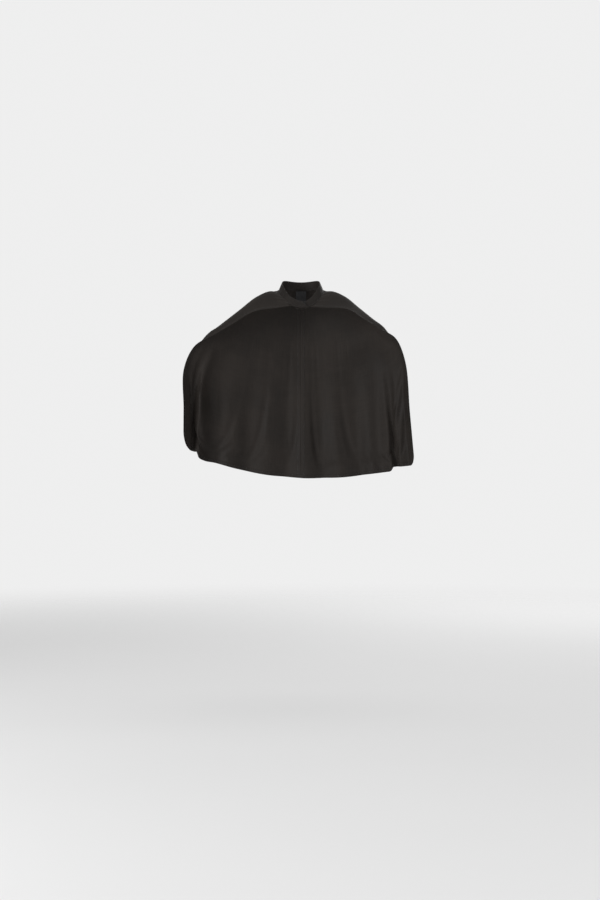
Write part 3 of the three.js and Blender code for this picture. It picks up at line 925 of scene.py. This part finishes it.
# stiffening between the leaves
for name, sign, first, last, stoodFor in (
    ("right_stiffening", -1, 178.5, 21.5, ("right_collar_interfacing", "right_front_interfacing")),
    ("left_stiffening", 1, 178.5, -13, ("left_collar_interfacing", "left_front_interfacing")),
    ("tab_stiffening", -1, 18.5, 1, ("tab_interfacing",)),
):
    ups = np.linspace(collar["stiffeningFoot"], collar["height"] - collar["stiffeningHead"], 6)
    degrees, up = np.meshgrid(bandAngles(first, last), ups, indexing="ij")
    spread = np.stack([degrees * neck["halfWidth"] * math.pi / 180, up], -1) * mm
    made = clothSheet(name, bandPoint(sign, degrees, 0.0, up) * mm, spread, collar["stiffeningThickness"])
    dress(made, stiffening)
    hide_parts(*stoodFor)
    bendCollar(made, sign, name == "tab_stiffening")
print("collar made")


# the closure: hooks inside the lapped end, loops on the outside of the under end, each on a woven tape
patch = dict(length=26, width=16, tape=1.1, gap=0.08, margin=0.8, edgeRadius=0.3, stitchInset=1.6, stitchPitch=2.4,
             hookPitch=1.15, hookRadius=0.09, loopPitch=0.95, loopRadius=0.055)


def patchSection(inner, outer, foot, head):
    r = patch["edgeRadius"]
    return np.array([(inner + r, foot), (outer - r, foot), (outer, foot + r), (outer, head - r),
                     (outer - r, head), (inner + r, head), (inner, head - r), (inner, foot + r)])


# A hook is a short post with a bent tip and a loop is a small arch: both are swept from a few rings.
def sweptWire(path, radius, sides=5):
    path = np.array(path, float) * mm
    along = unit(np.gradient(path, axis=0))
    beside = np.array([0.0, 1.0, 0.0])
    other = unit(np.cross(along, beside))
    turns = np.linspace(0, 2 * math.pi, sides, endpoint=False)
    rings = path[:, None] + radius * mm * (np.cos(turns)[None, :, None] * beside
                                           + np.sin(turns)[None, :, None] * other[:, None])
    points = np.concatenate([rings.reshape(-1, 3), path[:1], path[-1:]])
    faces = []
    for i in range(len(path) - 1):
        for k in range(sides):
            a, b = i * sides + k, i * sides + (k + 1) % sides
            faces += [[a, b, b + sides], [a, b + sides, a + sides]]
    first, last = len(points) - 2, len(points) - 1
    for k in range(sides):
        a, b = k, (k + 1) % sides
        faces += [[b, a, first], [(len(path) - 1) * sides + a, (len(path) - 1) * sides + b, last]]
    return points, faces


hookPath = [(0, 0, -0.2), (0, 0, 0.55), (0.06, 0, 0.85), (0.24, 0, 1.05), (0.44, 0, 1.0), (0.5, 0, 0.8)]
loopPath = [(-0.3, 0, -0.2), (-0.42, 0, 0.5), (-0.3, 0, 0.95), (0, 0, 1.2), (0.3, 0, 0.95), (0.42, 0, 0.5),
            (0.3, 0, -0.2)]


# Places over a patch, out from the band's middle line, with each shape turned about its own post.
def patchPlaces(sign, out, pitch, turnBy):
    half, height = patch["length"] / 2 - patch["margin"], patch["width"] - 2 * patch["margin"]
    columns, rows = int(2 * half / pitch), int(height / pitch)
    column, row = (v.ravel() for v in np.meshgrid(np.arange(columns), np.arange(rows), indexing="ij"))
    degrees = np.degrees((-half + (column + 0.5 + 0.25 * (row % 2)) * 2 * half / columns) / neck["halfWidth"])
    up = (collar["height"] - height) / 2 + (row + 0.5) * height / rows
    base, face, upward = bandFrame(sign, degrees)
    outward = face * math.copysign(1, out)
    along = unit(np.cross(upward, outward))
    spin = (turnBy * (column * 7 + row * 13) % 5)[:, None]
    first = along * np.cos(spin) + upward * np.sin(spin)
    return bandPoint(sign, degrees, out, up) * mm, np.stack([first, unit(np.cross(outward, first)), outward], 1)


def makePatch(kind, sign, side, path, napMaterial, follow):
    halfBand = collar["thickness"] / 2 + 0.16
    near, far = (side * (halfBand + patch["gap"] + k * patch["tape"]) for k in (0, 1))
    foot = (collar["height"] - patch["width"]) / 2
    spread = math.degrees(patch["length"] / 2 / neck["halfWidth"])
    section = patchSection(min(near, far), max(near, far), foot, foot + patch["width"])
    angles = np.linspace(spread, -spread, 20)
    rings = bandPoint(sign, angles[:, None], section[None, :, 0], section[None, :, 1] + 0 * angles[:, None])
    tape = closedTube(f"{kind}_tape", rings * mm, smooth=35)
    dress(tape, tapeBack)
    places, axes = patchPlaces(sign, far, patch[f"{kind}Pitch"], 0.7 if kind == "loop" else 0.0)
    nap = scatter(f"{kind}_field", sweptWire(path, patch[f"{kind}Radius"]), places, axes)
    dress(nap, napMaterial)
    inset = patch["stitchInset"]
    rows = []
    for up in (foot + inset, foot + patch["width"] - inset):
        base, face, upward = bandFrame(sign, angles)
        onTape = bandPoint(sign, angles, far + side * 0.02, up) * mm
        throughBand = bandPoint(sign, angles, -side * (collar["thickness"] / 2 + 0.2), up) * mm
        rows.append(stitchRow(onTape, side * face, patch["stitchPitch"]))
        rows.append(stitchRow(throughBand, -side * face, patch["stitchPitch"]))
    seam = stitches(f"{kind}_stitches", rows)
    dress(seam, sewingThread)
    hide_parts(f"{kind}_patch")
    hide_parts(f"{kind}_patch_thread")
    for piece in (tape, nap, seam):
        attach(piece, follow)


makePatch("hook", -1, -1, hookPath, hookNylon, "tab")
makePatch("loop", 1, 1, loopPath, loopPile, "left_front")
print("closure patches made")

# care label: a blank woven strip with its side edges turned under, hanging from the nape
label = dict(sideTurn=2.2, thickness=0.3, curl=1.3, sway=0.35, swayLength=5.1, turnGap=0.42, columns=30, rows=36,
             stitchDrop=1.6, stitchInset=2, stitchPitch=2.4)


# How far back the label lies from its sewn edge's own plane: it curls and waves more, the further down.
def labelBack(x, down):
    return -label["curl"] * down**2 - label["sway"] * np.sin(x / label["swayLength"] + 1.0) * down


def makeLabel():
    low, high = (np.array(corner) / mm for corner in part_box("care_label"))
    x, down = np.meshgrid(np.linspace(low[0], high[0], label["columns"]), np.linspace(0, 1, label["rows"]),
                          indexing="ij")
    height = high[2] - low[2]
    middle = (low[1] + high[1]) / 2
    points = np.stack([x, middle + labelBack(x, down), high[2] - down * height], -1) * mm
    spread = np.stack([x, down * height], -1) * mm
    strip = clothSheet("woven_label", points, spread, label["thickness"])
    dress(strip, labelSatin)
    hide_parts("care_label")
    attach(strip, "label")
    for name, edge, way in (("label_turn_right", low[0], 1), ("label_turn_left", high[0], -1)):
        across, fall = np.meshgrid(edge + way * np.linspace(0, label["sideTurn"], 5),
                                   np.linspace(0, 1, label["rows"]), indexing="ij")
        back = middle + labelBack(across, fall) + label["turnGap"]
        turned = clothSheet(name, np.stack([across, back, high[2] - fall * height], -1) * mm,
                            np.stack([across, fall * height], -1) * mm, label["thickness"])
        dress(turned, labelSatin)
        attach(turned, "label")
    inset = label["stitchInset"]
    line = np.array([(x, low[1] - 0.05, high[2] - label["stitchDrop"])
                     for x in np.linspace(low[0] + inset, high[0] - inset, 14)]) * mm
    seam = stitches("label_stitches", [stitchRow(line, np.array([[0.0, -1.0, 0.0]] * 14), label["stitchPitch"])])
    dress(seam, sewingThread)
    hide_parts("label_thread")
    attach(seam, "back")


makeLabel()
print("label made")


# the room: a pale floor that fades into a pale background, at the level of the wearer's feet
room = dict(floor=-1.09, reach=4.2, fadeFrom=1.3, fadeTo=3.9, tone=0.9, ambient=0.42, background=0.86)
# each lamp is (place, where it points, its two sides, power)
lamps = dict(
    key=((-2.9, -2.6, 0.1), (0, 0, -0.25), (1.4, 1.6), 95),
    fill=((2.4, -3.0, -0.1), (0, 0, -0.3), (2.0, 2.0), 34),
    overhead=((0.5, 0.2, 2.6), (0, 0, -1), (2.6, 2.6), 14),
    behind=((1.6, 3.0, 0.9), (0, 0.1, -0.2), (2.2, 1.8), 36),
)
viewer = dict(place=(-0.0027, -4.2, -0.409), lens=62.2, sensor=36)


def floorMaterial():
    material, graph, shader = startMaterial("paleFloor", Roughness=0.9, Specular_IOR_Level=0.1)
    place = graph.objectPlace()
    tone = graph.noise(place, 2).tint((room["tone"] * 0.985,) * 3, (room["tone"],) * 3)
    level = graph.node("ShaderNodeMapping", inputs={"Vector": place, "Scale": (1, 1, 0)})
    away = graph.node("ShaderNodeVectorMath", {"operation": "LENGTH"}, {0: level}, output=1)
    wire(graph, shader, Base_Color=tone, Alpha=away.between(room["fadeFrom"], room["fadeTo"], 1.0, 0.0))
    return material


# the frame's own nodes are all hidden by the pieces above, and wear the cape's cloth too
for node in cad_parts.values():
    dress(node, capeCloth)

deselectAll()
bpy.ops.mesh.primitive_circle_add(vertices=96, radius=room["reach"], fill_type="NGON",
                                  location=(0, 0, room["floor"]))
floor = bpy.context.active_object
floor.name = "backdrop"
bpy.ops.object.transform_apply(location=True, rotation=True, scale=True)
dress(floor, floorMaterial())


def softLight(name, place, aim, size, power):
    bpy.ops.object.light_add(type="AREA", location=place)
    lamp = bpy.context.active_object
    lamp.name = name
    lamp.data.shape = "RECTANGLE"
    lamp.data.size, lamp.data.size_y = size
    lamp.data.energy = power
    lamp.rotation_euler = (Vector(aim) - Vector(place)).to_track_quat("-Z", "Y").to_euler()


for name, lamp in lamps.items():
    softLight(name, *lamp)


# The light of the room, and a brighter plain background behind the object.
def makeRoomLight():
    world = bpy.data.worlds.new("studio")
    scene.world = world
    world.use_nodes = True
    graph = Link(world.node_tree)
    light, seen = (graph.node("ShaderNodeBackground", inputs={"Color": (1, 1, 1, 1), "Strength": room[key]})
                   for key in ("ambient", "background"))
    direct = graph.node("ShaderNodeLightPath")
    both = graph.node("ShaderNodeMixShader", inputs={0: direct, 1: light, 2: seen})
    world.node_tree.links.new(both.socket, world.node_tree.nodes["World Output"].inputs["Surface"])


makeRoomLight()
bpy.ops.object.camera_add(location=viewer["place"], rotation=(math.pi / 2, 0, 0))
camera = bpy.context.active_object
camera.data.sensor_width = viewer["sensor"]
camera.data.lens = viewer["lens"]
scene.camera = camera
print("room, lights and camera placed")
